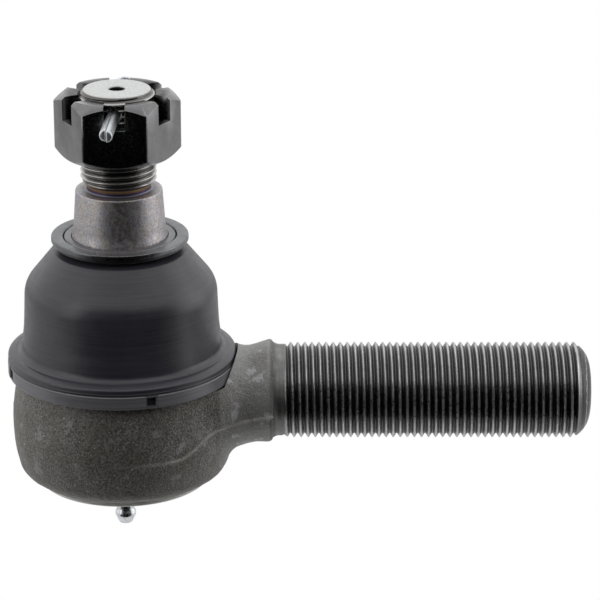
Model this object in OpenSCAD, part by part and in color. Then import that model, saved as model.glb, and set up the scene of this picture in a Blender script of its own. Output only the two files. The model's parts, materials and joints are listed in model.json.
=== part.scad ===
// Tie rod end: a spring-loaded ball joint in a forged housing with a threaded shank.
// Origin: on the shank axis, where the thread starts. +X runs along the shank to its tip,
// +Z runs up the ball stud. The ball centre lies on the shank axis, ball_to_thread behind
// the origin. Both threads are right-handed and are held as cylinders at major diameter.

/* [Shank] */
// From the ball centre to the first full thread
ball_to_thread = 50; // [48:0.5:56]
// From the ball centre to the tip of the shank
shank_reach = 139.7; // [120:0.1:180]
// Major diameter of the shank thread, 1 1/8 inch
shank_d = 28.575; // [28:0.005:29]
// Diameter of the plain turned band between the forging and the thread
relief_d = 27.4; // [26:0.1:27.8]
// Length of the crowned tip, along the shank
tip_crown = 4.9; // [3:0.1:6]

/* [Housing] */
// Outer radius of the eye at its widest
eye_r = 33; // [32:0.1:36]
// Height of the eye's bottom face, from the ball centre
eye_bottom_z = -25.5; // [-27:0.1:-25]
// Radius of the rolled lip that holds the bottom plug
lip_r = 25.7; // [25:0.1:27]
// Radius of the bore that holds the bearings
bearing_bore_r = 22.2; // [22:0.1:23]
// Radius of the turned spigot that carries the boot
spigot_r = 30; // [29:0.1:30.5]
// Height of the top of the spigot
spigot_top_z = 12.5; // [12:0.1:13]
// Radius of the opening that the stud swings in
throat_r = 18.2; // [18:0.1:18.8]

/* [Ball stud] */
// Radius of the ball
ball_r = 19; // [18.6:0.1:19.2]
// Radius of the stud's neck
neck_r = 10.5; // [9:0.1:10.8]
// Radius of the seal land, below the washer
land_r = 14.15; // [13.8:0.05:14.3]
// Radius of the taper at its large end
taper_r = 13.55; // [13.3:0.05:13.7]
// Diameter lost along the taper for each millimetre, 1:8
taper_rate = 0.125; // [0.1:0.005:0.15]
// Height of the taper's small end, the shoulder under the thread
shoulder_z = 63.5; // [60:0.1:65]
// Major diameter of the stud thread, 7/8 inch
stud_d = 22.225; // [22:0.005:22.4]
// Height of the top of the stud
stud_top_z = 93.7; // [93.5:0.1:98]

/* [Castle nut] */
// Width across flats
nut_af = 32.4; // [32:0.1:34]
// Height of the nut
nut_h = 18.6; // [18:0.05:20]
// Height of the nut's seat face
nut_z = 74; // [72:0.1:75]
// Width of the six slots
slot_w = 6.1; // [5.6:0.1:6.4]
// Depth of the six slots
slot_depth = 7; // [6.5:0.05:7]

/* [Cotter pin] */
// Diameter of the closed pin
cotter_d = 3.7; // [3.2:0.1:3.9]
// Diameter of the hole drilled across the stud
cotter_hole_d = 5.2; // [5:0.1:5.4]
// Height of the hole
cotter_z = 88.2; // [87.5:0.1:88.5]
// Turn of the hole in plan, away from the shank's cross direction
cotter_turn = 3.7; // [0:0.1:4]
// How far the legs reach in front of the stud axis
cotter_front = 27; // [24:0.5:34]

/* [Seals] */
// Radius of the boot's wall at its shoulder
boot_r = 28.5; // [28:0.1:29]
// Thickness of the boot's wall
boot_wall = 2.2; // [1.8:0.1:2.4]
// Outer radius of the slotted ring around the boot's foot
ring_r = 34.03; // [33.8:0.01:34.3]
// Width of the four purge slots in that ring
purge_slot_w = 2.6; // [2:0.1:3.5]
// Radius of the washer on top of the boot
washer_r = 20.2; // [19.8:0.1:20.8]

/* [Springs] */
// Wire diameter of the pressure spring
spring_wire = 2.2; // [2:0.05:2.3]
// Turns of the pressure spring
spring_turns = 2.5; // [2.25:0.25:2.5]

/* [Hidden] */
$fn = 96;

// Clearances
running = 0.06;
seat_gap = 0.05;
drill_over = 1;

// Side of the eye: two arcs that meet at its widest height
belly_z = -9;
belly_bend_low = 48;
belly_bend_high = 62;
eye_foot_inset = 6.4;
eye_edge_r = 3;

// Bearings, seat washer and plug inside the eye
shoulder_in_z = 9.45;
cone_start_z = 3.2;
cone_top_r = 19.1;
upper_top_z = 9.3;
upper_bottom_z = -0.6;
lower_top_z = -1.6;
lower_bottom_z = -14.5;
seat_washer_t = 1.4;
seat_washer_r = 20.5;
seat_washer_bore_r = 12.6;
spigot_foot_z = 6.6;
seat_cut_r = 34.45;
plug_pocket_r = 23.2;
plug_top_z = -21.5;
plug_edge_z = -25.25;
plug_floor_z = -25.2;
plug_dish_r = 18;
plug_t = 3.2;
lip_z = -27.1;
lip_inner_r = 21.4;
oring_r = 0.85;
oring_groove_h = 1.9;
spring_r = 15;

// Grease nipple, 1/4-28
nipple_thread_r = 3.175;
nipple_bore_r = 1.4;
nipple_hex_af = 7.94;
nipple_hex_z = -30.7;
nipple_hex_h = 4.2;
nipple_tip_z = -43.1;
nipple_seat_z = -31.5;
check_r = 1.15;
check_z = -41.05;

// Boot outline: a flange at the foot, a near-upright wall, a round shoulder and a cone
flange_r = 33.9;
flange_top_z = 13;
fillet_c = [31.75, 15.9];
fillet_r = 2.2;
waist = [28.9, 22];
shoulder_r = 9;
shoulder_z0 = 31.2;
shoulder_turn = 39.5;
boot_top_z = 45.5;
boot_rim = [20, 44.9];
boot_neck_r = 16.8;
boot_sleeve_z = 38.5;
groove_top_z = 46.6;
ring_bottom_z = 7;
ring_top_z = 11;
ring_inner_r = 32.6;

// Stack on top of the boot
lip_ring_r = 19.3;
washer_z = 47.7;
washer_top_z = 49.3;
bushing_r = 15.8;
bushing_rim_r = 16.55;
bushing_bottom_z = 38;

// Stud
ball_flat_z = -18.4;
neck_top_z = 22;
land_bottom_z = 38;
flare_z = 50.1;
thread_root_r = 9.45;
relief_top_z = 65.3;
centre_hole_r = 2.3;
centre_hole_depth = 6;
nut_corner_r = nut_af / 2 / cos(30);

// Points along an arc about c, from one angle to another
function arc(c, r, from, to, steps) =
    [for (i = [0:steps]) let (a = from + (to - from) * i / steps) c + r * [cos(a), sin(a)]];

// Radius of the stud's taper at a height
function taper_at(z) = taper_r - (z - flare_z) * taper_rate / 2;

// Points of a ring of wire at one place on a helix that rises from z0 to z1
function coil_ring(r, wire_r, z0, z1, turns, t, sides) =
    [for (k = [0:sides - 1])
        let (w = 360 * k / sides, a = 360 * turns * t, q = r + wire_r * cos(w))
        [q * cos(a), q * sin(a), z0 + (z1 - z0) * t + wire_r * sin(w)]];

// A coil spring as one closed sweep
module coil(r, wire_r, z0, z1, turns, per_turn, sides) {
    rings = round(turns * per_turn);
    points = [for (i = [0:rings]) each coil_ring(r, wire_r, z0, z1, turns, i / rings, sides)];
    walls = [
        for (i = [0:rings - 1], k = [0:sides - 1])
            let (a = i * sides + k, b = i * sides + (k + 1) % sides)
            [a, b, b + sides, a + sides]
    ];
    first = [for (k = [sides - 1:-1:0]) k];
    last = [for (k = [0:sides - 1]) rings * sides + k];
    polyhedron(points, concat([first], walls, [last]), convexity = 10);
}

// Places a sub-part that is drawn about the ball centre
module about_ball() {
    translate([-ball_to_thread, 0, 0]) children();
}

// Turns an outline of [radius, distance along the shank] about the shank axis
module turned_along_shank(outline) {
    rotate([0, 90, 0]) rotate_extrude() polygon(outline);
}

// ---- Housing -------------------------------------------------------------------------

// Radius of the eye's side at a height
function eye_side(z) =
    eye_r - pow(z - belly_z, 2) / 2 / (z < belly_z ? belly_bend_low : belly_bend_high);

module eye_body() {
    side_low_z = -22;
    side_steps = 10;
    foot_r = eye_r - eye_foot_inset;
    rotate_extrude() polygon(concat(
        [[0, lip_z], [lip_r, lip_z], [lip_r, eye_bottom_z], [foot_r, eye_bottom_z]],
        arc([foot_r, eye_bottom_z + eye_edge_r], eye_edge_r, -80, -12, 5),
        [
            for (i = [0:side_steps])
                let (z = side_low_z + (spigot_top_z - side_low_z) * i / side_steps) [eye_side(z), z]
        ],
        [[0, spigot_top_z]]
    ));
}

// Forged neck: a waisted bar that leans up from the eye and runs into the shank's collar
module forged_neck() {
    foot = [25, 0, -3.45];
    length = 16;
    waist_at = 12;
    waist_r = 14.5;
    spread = 0.044;
    lean = 10;
    translate(foot) rotate([0, 90 - lean, 0]) rotate_extrude() polygon(concat(
        [[0, 0]],
        [for (s = [0:1.5:waist_at]) [waist_r + spread * pow(waist_at - s, 2), s]],
        [[waist_r, length], [0, length]]
    ));
}

// Turned seat around the spigot: a ledge for the boot's ring, let into the neck
module boot_seat_cut() {
    chamfer = 1.5;
    above_neck_z = 30;
    rotate_extrude() polygon([
        [spigot_r, spigot_foot_z], [seat_cut_r, spigot_foot_z],
        [seat_cut_r, above_neck_z], [0, above_neck_z],
        [0, spigot_top_z], [spigot_r - chamfer, spigot_top_z], [spigot_r, spigot_top_z - chamfer]
    ]);
}

module shank() {
    root_x = 36;
    collar_x = 40;
    collar_r = 15;
    collar_end = 44.3;
    edge = 0.6;
    relief_r = relief_d / 2;
    thread_r = shank_d / 2;
    tip_steps = 8;
    tip_sharpness = 4.5;
    turned_along_shank(concat([
        [0, root_x], [collar_r - 2, root_x], [collar_r, collar_x], [collar_r, collar_end - edge],
        [collar_r - edge, collar_end], [relief_r + edge, collar_end + edge],
        [relief_r, collar_end + 2 * edge], [relief_r, ball_to_thread - thread_r + relief_r],
        [thread_r, ball_to_thread]
    ], [
        for (i = [0:tip_steps])
            let (s = 1 - i / tip_steps)
                [thread_r * s, shank_reach - tip_crown * pow(s, tip_sharpness)]
    ]));
}

// Everything bored out of the eye: throat, bearing bore, O-ring groove, plug pocket and lip
module socket_bore() {
    throat_bevel = 1;
    rotate_extrude() polygon([
        [0, lip_z - drill_over], [lip_inner_r, lip_z - drill_over], [lip_inner_r, plug_edge_z],
        [plug_pocket_r, plug_edge_z], [plug_pocket_r, plug_top_z + oring_groove_h],
        [bearing_bore_r, plug_top_z + oring_groove_h],
        [bearing_bore_r, cone_start_z], [cone_top_r, shoulder_in_z], [throat_r, shoulder_in_z],
        [throat_r, spigot_top_z - throat_bevel], [throat_r + throat_bevel, spigot_top_z],
        [throat_r + throat_bevel, spigot_top_z + drill_over], [0, spigot_top_z + drill_over]
    ]);
}

module housing() {
    color("#3d3a35") about_ball() difference() {
        union() {
            eye_body();
            forged_neck();
            shank();
        }
        boot_seat_cut();
        socket_bore();
    }
}

// ---- Socket: bearings, spring and plug ---------------------------------------------

// Four grease grooves cut into a bearing's round seat
module grease_grooves(z0, z1) {
    groove_w = 1.6;
    groove_d = 0.7;
    groove_reach = ball_r + groove_d;
    for (a = [45:90:315]) rotate([0, 0, a])
        translate([0, -groove_w / 2, z0 - drill_over])
            cube([groove_reach, groove_w, z1 - z0 + 2 * drill_over]);
}

module upper_bearing() {
    outer = bearing_bore_r - running;
    inner = throat_r - 2.4;
    groove_end_z = 5;
    color("#8a8378") about_ball() difference() {
        rotate_extrude() polygon([
            [inner, upper_bottom_z], [outer, upper_bottom_z], [outer, cone_start_z - seat_gap],
            [cone_top_r - 0.08, upper_top_z], [inner, upper_top_z]
        ]);
        sphere(r = ball_r + seat_gap);
        grease_grooves(upper_bottom_z, groove_end_z);
    }
}

module lower_bearing() {
    outer = bearing_bore_r - running;
    bore_r = 12;
    edge = 0.8;
    groove_start_z = -11;
    color("#8a8378") about_ball() difference() {
        rotate_extrude() polygon([
            [bore_r, lower_bottom_z], [outer - edge, lower_bottom_z], [outer, lower_bottom_z + edge],
            [outer, lower_top_z], [bore_r, lower_top_z]
        ]);
        sphere(r = ball_r + seat_gap);
        grease_grooves(groove_start_z, lower_top_z);
    }
}

module spring_seat() {
    color("#6f7274") about_ball() rotate_extrude()
        translate([seat_washer_bore_r, lower_bottom_z - seat_washer_t])
            square([seat_washer_r - seat_washer_bore_r, seat_washer_t]);
}

module pressure_spring() {
    gap = 0.03;
    rings_per_turn = 28;
    sides = 14;
    wire_r = spring_wire / 2;
    low = plug_floor_z + wire_r + gap;
    high = lower_bottom_z - seat_washer_t - wire_r - gap;
    color("#54585c") about_ball() 
        coil(spring_r, wire_r, low, high, spring_turns, rings_per_turn, sides);
}

// Dished plug: its rim lies in the eye's pocket, its middle carries the nipple's boss
module bottom_plug() {
    edge_gap = 0.08;
    rim_top_z = plug_top_z - edge_gap;
    rim_low_z = plug_edge_z + edge_gap / 2;
    rim_r = plug_pocket_r - running;
    bend = 0.6;
    dish_out_r = plug_dish_r + bend;
    dish_out_z = plug_floor_z - plug_t;
    boss_r = 6.6;
    thread_way = 10;
    color("#4a4a48") about_ball() difference() {
        rotate_extrude() polygon([
            [0, plug_floor_z], [plug_dish_r, plug_floor_z],
            [plug_dish_r + 3 * bend, rim_top_z - 1.5 * bend], [plug_dish_r + 4 * bend, rim_top_z],
            [rim_r, rim_top_z], [rim_r, rim_low_z], [dish_out_r + 4 * bend, rim_low_z],
            [dish_out_r, dish_out_z], [boss_r + 3 * bend, dish_out_z], [boss_r, nipple_hex_z],
            [0, nipple_hex_z]
        ]);
        translate([0, 0, nipple_hex_z - drill_over])
            cylinder(r = nipple_thread_r + 0.03, h = thread_way);
    }
}

// O-ring in the corner between the eye and the plug's rim
module plug_seal() {
    color("#1b1b1c") about_ball() translate([0, 0, plug_top_z + oring_r])
        rotate_extrude() translate([plug_pocket_r - oring_r - seat_gap, 0])
            circle(r = oring_r, $fn = 24);
}

// ---- Grease nipple -----------------------------------------------------------------

module grease_nipple() {
    waist_r = 2.55;
    bulb_r = 3.15;
    tip_r = 1.9;
    root_r = 3.6;
    mouth_r = 0.75;
    way_r = 0.9;
    bulb_z = nipple_tip_z + 3.1;
    bulb_half = 0.4;
    waist_low_z = bulb_z + 1.4;
    waist_high_z = waist_low_z + 2;
    ball_stop_z = nipple_tip_z + 1.2;
    hex_end_z = nipple_hex_z - nipple_hex_h;
    lead = 0.6;
    top_z = plug_floor_z - 0.3;
    color("#c9ccce") about_ball() difference() {
        union() {
            translate([0, 0, hex_end_z])
                cylinder(r = nipple_hex_af / 2 / cos(30), h = nipple_hex_h, $fn = 6);
            rotate_extrude() polygon([
                [0, nipple_tip_z], [tip_r, nipple_tip_z], [bulb_r, bulb_z - bulb_half],
                [bulb_r, bulb_z + bulb_half], [waist_r, waist_low_z], [waist_r, waist_high_z],
                [root_r, hex_end_z + bulb_half], [nipple_thread_r, hex_end_z + bulb_half],
                [nipple_thread_r, top_z - lead], [nipple_thread_r - lead, top_z], [0, top_z]
            ]);
        }
        // grease way: mouth, cone that the check ball closes, and bore for the spring
        rotate_extrude() polygon([
            [0, nipple_tip_z - drill_over], [mouth_r, nipple_tip_z - drill_over],
            [mouth_r, ball_stop_z - 0.4], [nipple_bore_r, ball_stop_z + 0.5],
            [nipple_bore_r, nipple_seat_z], [way_r, nipple_seat_z + 0.5],
            [way_r, top_z + drill_over], [0, top_z + drill_over]
        ]);
    }
}

module nipple_ball() {
    color("#dfe2e4") about_ball() translate([0, 0, check_z]) sphere(r = check_r);
}

module nipple_spring() {
    wire_r = 0.16;
    side_gap = 0.2;
    end_gap = 0.06;
    turns = 8;
    low = check_z + check_r + wire_r + end_gap;
    color("#8f9498") about_ball()
        coil(nipple_bore_r - wire_r - side_gap, wire_r, low, nipple_seat_z - wire_r, turns, 12, 6);
}

// ---- Boot and its rings ------------------------------------------------------------

function boot_outside(flange_edge = 0.4) = concat(
    [[flange_r, flange_top_z - flange_edge], [flange_r - flange_edge, flange_top_z]],
    arc(fillet_c, fillet_r, 255, 180, 5),
    [waist],
    arc([boot_r - shoulder_r, shoulder_z0], shoulder_r, 0, shoulder_turn, 6),
    [boot_rim]
);

// The wall's inside, from the sleeve that grips the bushing down to the flange
function boot_inside() =
    let (sleeve_r = 18, throat_r = 18.7, sleeve_t = 3, heel = [27.6, 15], foot_corner_z = 12.2)
    concat(
        [
            [bushing_r + seat_gap, boot_sleeve_z], [sleeve_r, boot_sleeve_z],
            [throat_r, boot_sleeve_z + sleeve_t]
        ],
        arc([boot_r - shoulder_r, shoulder_z0], shoulder_r - boot_wall, shoulder_turn, 0, 6),
        [[waist[0] - boot_wall, waist[1]], heel, [spigot_r + seat_gap, foot_corner_z]]
    );

module dust_boot() {
    foot_in = ring_inner_r - seat_gap;
    foot_z = ring_bottom_z + 0.1;
    lip_top_z = groove_top_z - seat_gap;
    color("#2a2d34") about_ball() rotate_extrude() polygon(concat(
        boot_outside(),
        [[boot_neck_r, boot_top_z], [boot_neck_r, lip_top_z], [bushing_r + seat_gap, lip_top_z]],
        boot_inside(),
        [
            [spigot_r + seat_gap, foot_z], [foot_in, foot_z],
            [foot_in, ring_top_z + seat_gap], [flange_r, ring_top_z + seat_gap]
        ]
    ));
}

// Azimuths of the four purge slots
function purge_angles() = [-72.5, -162, 24, 104];

module boot_retaining_ring() {
    height = ring_top_z - ring_bottom_z;
    edge = 0.3;
    color("#23262c") about_ball() difference() {
        rotate_extrude() polygon([
            [ring_inner_r, ring_bottom_z], [ring_r - edge, ring_bottom_z],
            [ring_r, ring_bottom_z + edge], [ring_r, ring_top_z - edge],
            [ring_r - edge, ring_top_z], [ring_inner_r, ring_top_z]
        ]);
        for (a = purge_angles()) rotate([0, 0, a])
            translate([ring_inner_r - drill_over, 0, ring_bottom_z + height / 2])
                translate([0, -purge_slot_w / 2, -purge_slot_w / 2])
                    cube([ring_r - ring_inner_r + 2 * drill_over, purge_slot_w, purge_slot_w]);
    }
}

// Sleeve that grips the boot's neck and turns on the stud's land
module stud_bushing() {
    bore_r = land_r + running;
    lead = 0.6;
    color("#5b5e63") about_ball() rotate_extrude() polygon([
        [bore_r, bushing_bottom_z + lead], [bore_r + lead, bushing_bottom_z],
        [bushing_r, bushing_bottom_z],
        [bushing_r, washer_z], [bushing_rim_r, washer_z], [bushing_rim_r, washer_top_z],
        [bore_r, washer_top_z]
    ]);
}

// Ring of round wire that closes the boot's lip
module garter_spring() {
    wire_r = 0.46;
    color("#3b3e42") about_ball() translate([0, 0, (boot_top_z + groove_top_z) / 2])
        rotate_extrude() translate([boot_neck_r + wire_r + seat_gap, 0])
            circle(r = wire_r, $fn = 24);
}

module seal_lip_ring() {
    inner_r = bushing_r + seat_gap;
    edge = 0.3;
    color("#1d1f22") about_ball() rotate_extrude() polygon([
        [inner_r, groove_top_z], [lip_ring_r - edge, groove_top_z],
        [lip_ring_r, groove_top_z + edge], [lip_ring_r, washer_z], [inner_r, washer_z]
    ]);
}

module stud_washer() {
    inner_r = bushing_rim_r + seat_gap;
    edge = 0.35;
    color("#55585c") about_ball() rotate_extrude() polygon([
        [inner_r, washer_z], [washer_r - edge, washer_z], [washer_r, washer_z + edge],
        [washer_r, washer_top_z - edge], [washer_r - edge, washer_top_z], [inner_r, washer_top_z]
    ]);
}

// ---- Stud, nut and cotter pin --------------------------------------------------------

module along_cotter() {
    translate([0, 0, cotter_z]) rotate([90, 0, -cotter_turn]) children();
}

// Ball with its bottom faced off
module stud_ball() {
    intersection() {
        sphere(r = ball_r);
        translate([-ball_r, -ball_r, ball_flat_z]) cube(2 * ball_r);
    }
}

// Neck, seal land, taper and thread, turned in one piece above the ball
module stud_shaft() {
    root_z = 6;
    land_lead = [1, 4];
    shoulder_edge = 0.4;
    thread_r = stud_d / 2;
    lead = thread_r - thread_root_r;
    rotate_extrude() polygon([
        [0, root_z], [neck_r, root_z], [neck_r, neck_top_z],
        [land_r - land_lead[0], land_bottom_z - land_lead[1]],
        [land_r, land_bottom_z], [land_r, washer_top_z + 0.1], [taper_r, flare_z],
        [taper_at(shoulder_z - shoulder_edge), shoulder_z - shoulder_edge],
        [taper_at(shoulder_z) - shoulder_edge, shoulder_z],
        [thread_root_r, shoulder_z], [thread_root_r, relief_top_z],
        [thread_r, relief_top_z + lead], [thread_r, stud_top_z - lead],
        [thread_root_r, stud_top_z], [0, stud_top_z]
    ]);
}

module ball_stud() {
    color("#7d7a76") about_ball() difference() {
        union() {
            stud_ball();
            stud_shaft();
        }
        // centre drilling left by the lathe
        translate([0, 0, stud_top_z - centre_hole_depth])
            cylinder(r = centre_hole_r, h = centre_hole_depth + drill_over);
        along_cotter() cylinder(d = cotter_hole_d, h = 2 * stud_d, center = true);
    }
}

module castle_nut() {
    bottom_r = 15.6;
    bottom_slope = 0.77;
    top_r = 15.4;
    top_slope = 0.84;
    out_r = nut_corner_r + 1;
    top_z = nut_z + nut_h;
    color("#26262a") about_ball() difference() {
        intersection() {
            translate([0, 0, nut_z]) cylinder(r = nut_corner_r, h = nut_h, $fn = 6);
            rotate_extrude() polygon([
                [0, nut_z - drill_over], [bottom_r - drill_over / bottom_slope, nut_z - drill_over],
                [out_r, nut_z + (out_r - bottom_r) * bottom_slope],
                [out_r, top_z - (out_r - top_r) * top_slope],
                [top_r - drill_over / top_slope, top_z + drill_over], [0, top_z + drill_over]
            ]);
        }
        translate([0, 0, nut_z - drill_over])
            cylinder(r = stud_d / 2 + 0.05, h = nut_h + 2 * drill_over);
        for (a = [0, 60, 120]) rotate([0, 0, a])
            translate([-slot_w / 2, -nut_corner_r, top_z - slot_depth])
                cube([slot_w, 2 * nut_corner_r, slot_depth + drill_over]);
    }
}

// One half-round leg, its flat side just off x = 0, running along +Z
module cotter_leg(length) {
    split = 0.05;
    linear_extrude(length) intersection() {
        circle(d = cotter_d, $fn = 32);
        translate([split, -cotter_d]) square(2 * cotter_d);
    }
}

// Two half-round legs through the stud, joined by an eye behind the nut
module cotter_pin() {
    eye_gap_r = 1.5;
    eye_y = 19.1;
    shift = -0.1;
    droop = 2;
    length = eye_y + cotter_front;
    shorter = 0.8;
    color("#c4c8cb") about_ball() translate([shift, 0, cotter_z])
        rotate([droop, 0, -cotter_turn]) {
            translate([0, eye_y, 0]) rotate([90, 0, 0]) {
                cotter_leg(length);
                mirror([1, 0, 0]) cotter_leg(length - shorter);
            }
            translate([0, eye_y + eye_gap_r, 0]) rotate_extrude() intersection() {
                translate([eye_gap_r, 0]) circle(d = cotter_d, $fn = 32);
                translate([eye_gap_r, -cotter_d]) square(2 * cotter_d);
            }
        }
}

housing();
upper_bearing();
lower_bearing();
spring_seat();
pressure_spring();
bottom_plug();
plug_seal();
grease_nipple();
nipple_ball();
nipple_spring();
dust_boot();
boot_retaining_ring();
stud_bushing();
garter_spring();
seal_lip_ring();
stud_washer();
ball_stud();
castle_nut();
cotter_pin();
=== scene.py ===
"""Looks of the tie rod end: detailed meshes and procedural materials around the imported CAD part.

Every piece is drawn in millimetres about the ball centre, +X along the shank and +Z up the
stud, and is then moved into the row frame, in metres.
"""
import json
import math

import bmesh
import bpy
import numpy as np
from mathutils import Matrix, Vector, noise

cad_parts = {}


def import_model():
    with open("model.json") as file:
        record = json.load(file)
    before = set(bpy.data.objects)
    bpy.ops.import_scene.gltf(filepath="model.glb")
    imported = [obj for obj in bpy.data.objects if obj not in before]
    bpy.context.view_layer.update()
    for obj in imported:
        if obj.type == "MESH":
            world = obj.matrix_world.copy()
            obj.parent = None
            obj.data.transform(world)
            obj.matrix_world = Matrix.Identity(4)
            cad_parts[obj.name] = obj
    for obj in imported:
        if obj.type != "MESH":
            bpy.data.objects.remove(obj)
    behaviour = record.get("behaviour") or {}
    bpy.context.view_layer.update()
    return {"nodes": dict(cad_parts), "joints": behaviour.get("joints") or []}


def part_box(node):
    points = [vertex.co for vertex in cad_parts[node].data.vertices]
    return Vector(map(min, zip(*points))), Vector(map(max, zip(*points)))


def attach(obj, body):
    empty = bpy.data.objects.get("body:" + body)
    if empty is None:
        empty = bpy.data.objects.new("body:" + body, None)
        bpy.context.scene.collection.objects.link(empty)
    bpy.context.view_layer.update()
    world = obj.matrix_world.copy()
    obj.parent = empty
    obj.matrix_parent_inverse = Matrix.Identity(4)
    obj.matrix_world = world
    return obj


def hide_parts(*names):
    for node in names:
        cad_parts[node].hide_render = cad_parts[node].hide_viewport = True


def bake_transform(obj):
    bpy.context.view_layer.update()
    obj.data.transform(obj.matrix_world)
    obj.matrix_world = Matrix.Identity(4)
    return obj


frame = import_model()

MM = 0.001
X, Y, Z = 0, 1, 2
PIVOT = Vector(next(j["pos_m"] for j in frame["joints"] if j["name"] == "tilt_fore"))


# ---- Sizes taken from the frame ----

def span(node, axis):
    """Lowest and highest coordinate of a CAD node along an axis, in mm from the ball centre."""
    low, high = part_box(node)
    return (low[axis] - PIVOT[axis]) / MM, (high[axis] - PIVOT[axis]) / MM


def radius_of(node):
    """Outer radius of a CAD node that is round about the stud, in mm."""
    low, high = span(node, Y)
    return (high - low) / 2


INSIDE = 0.02
SHANK_REACH = span("housing", X)[1] - INSIDE
EYE_R = radius_of("housing")
BALL_BOTTOM_Z, STUD_TOP_Z = span("ball_stud", Z)
STUD_TOP_Z -= INSIDE
NUT_Z, NUT_TOP_Z = span("castle_nut", Z)
NUT_AF = 2 * radius_of("castle_nut")
WASHER_Z, WASHER_TOP_Z = span("stud_washer", Z)
WASHER_R = radius_of("stud_washer")
LIP_RING_Z = span("seal_lip_ring", Z)[0]
LIP_RING_R = radius_of("seal_lip_ring")
BUSHING_Z = span("stud_bushing", Z)[0]
BUSHING_RIM_R = radius_of("stud_bushing")
RING_Z, RING_TOP_Z = span("boot_retaining_ring", Z)
RING_R = radius_of("boot_retaining_ring") - INSIDE
BOOT_FOOT_Z, BOOT_TOP_Z = span("dust_boot", Z)
GARTER_R = radius_of("garter_spring")
GARTER_Z = sum(span("garter_spring", Z)) / 2
PLUG_Z, PLUG_TOP_Z = span("bottom_plug", Z)
PLUG_R = radius_of("bottom_plug")
NIPPLE_Z, NIPPLE_TOP_Z = span("grease_nipple", Z)

# Standard threads: 1 1/8 inch-12 on the shank, 7/8 inch-14 on the stud
INCH = 25.4
SHANK_R = 1.125 * INCH / 2
SHANK_PITCH = INCH / 12
STUD_R = 0.875 * INCH / 2
STUD_PITCH = INCH / 14
THREAD_DEPTH = 0.6134
FINE = 96


# ---- Outlines ----

def arc(centre, radius, start, end, steps=12):
    """Points along an arc, with its angles in degrees."""
    turns = np.radians(np.linspace(start, end, steps + 1))
    return [(centre[0] + radius * math.cos(a), centre[1] + radius * math.sin(a)) for a in turns]


def rounded(corners, radius=0.3, closed=True, steps=4):
    """Outline with its corners rounded. A corner is (r, z), or (r, z, its own radius)."""
    outline = []
    for i, corner in enumerate(corners):
        here = Vector(corner[:2])
        size = corner[2] if len(corner) > 2 else radius
        at_end = not closed and i in (0, len(corners) - 1)
        if at_end or size == 0:
            outline.append(tuple(here))
            continue
        back = Vector(corners[i - 1][:2]) - here
        ahead = Vector(corners[(i + 1) % len(corners)][:2]) - here
        reach = min(size, 0.45 * back.length, 0.45 * ahead.length)
        first = here + back.normalized() * reach
        last = here + ahead.normalized() * reach
        for k in range(steps + 1):
            t = k / steps
            outline.append(tuple(first * (1 - t) ** 2 + here * 2 * t * (1 - t) + last * t * t))
    return outline


# ---- Meshes ----

def make(name, points, faces, sharp=35, merge=0.0004):
    """Closed smooth-shaded mesh from points in mm about the ball centre."""
    mesh = bpy.data.meshes.new(name)
    mesh.from_pydata([tuple(p) for p in points], [], [tuple(f) for f in faces])
    work = bmesh.new()
    work.from_mesh(mesh)
    bmesh.ops.remove_doubles(work, verts=work.verts, dist=merge)
    bmesh.ops.dissolve_degenerate(work, edges=work.edges, dist=merge / 4)
    bmesh.ops.recalc_face_normals(work, faces=work.faces)
    bmesh.ops.transform(work, matrix=Matrix.Translation(PIVOT) @ Matrix.Scale(MM, 4),
                        verts=work.verts)
    work.to_mesh(mesh)
    work.free()
    piece = bpy.data.objects.new(name, mesh)
    bpy.context.scene.collection.objects.link(piece)
    smooth(piece, sharp)
    return piece


def smooth(piece, sharp=35):
    """Smooth shading, kept crisp at edges that turn more than sharp degrees."""
    mesh = piece.data
    mesh.shade_smooth()
    mesh.set_sharp_from_angle(angle=math.radians(sharp))


def lattice(rows, columns, close_rows=False, close_columns=True):
    """Quads between neighbouring rows of points."""
    faces = []
    for i in range(rows if close_rows else rows - 1):
        for j in range(columns if close_columns else columns - 1):
            k, m = (i + 1) % rows, (j + 1) % columns
            faces.append((i * columns + j, i * columns + m, k * columns + m, k * columns + j))
    return faces


def end_caps(rows, columns):
    """The two faces that close the first and the last row."""
    return [tuple(range(columns)), tuple(range((rows - 1) * columns, rows * columns))]


def turned(outline, closed=True, segments=FINE):
    """Points and faces of an outline of (r, z) turned about the stud's axis."""
    turns = [2 * math.pi * j / segments for j in range(segments)]
    points = [(r * math.cos(a), r * math.sin(a), z) for r, z in outline for a in turns]
    return points, lattice(len(outline), segments, closed)


def lathe(name, outline, closed=True, segments=FINE, sharp=35):
    """Turned piece. An open outline starts and ends on the axis."""
    return make(name, *turned(outline, closed, segments), sharp=sharp)


def apply_modifiers(piece):
    """Bakes a piece's modifiers into its mesh."""
    graph = bpy.context.evaluated_depsgraph_get()
    mesh = bpy.data.meshes.new_from_object(piece.evaluated_get(graph))
    piece.modifiers.clear()
    piece.data = mesh


def combine(piece, other, operation, sharp=35):
    """Boolean of two closed meshes. The other one is used up."""
    modifier = piece.modifiers.new("Combine", "BOOLEAN")
    modifier.operation = operation
    modifier.solver = "MANIFOLD"
    modifier.object = other
    apply_modifiers(piece)
    bpy.data.objects.remove(other)
    smooth(piece, sharp)
    return piece


def cut(piece, outline, operation="DIFFERENCE", segments=FINE, sharp=35):
    """Boolean of a piece and a solid turned from an open outline."""
    return combine(piece, lathe("cutter", outline, False, segments), operation, sharp)


def soften(piece, width, angle):
    """Rounds a piece's edges that turn more than angle degrees."""
    modifier = piece.modifiers.new("Soften", "BEVEL")
    modifier.width = width * MM
    modifier.segments = 2
    modifier.limit_method = "ANGLE"
    modifier.angle_limit = math.radians(angle)
    modifier.use_clamp_overlap = True
    apply_modifiers(piece)
    smooth(piece)
    return piece


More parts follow.
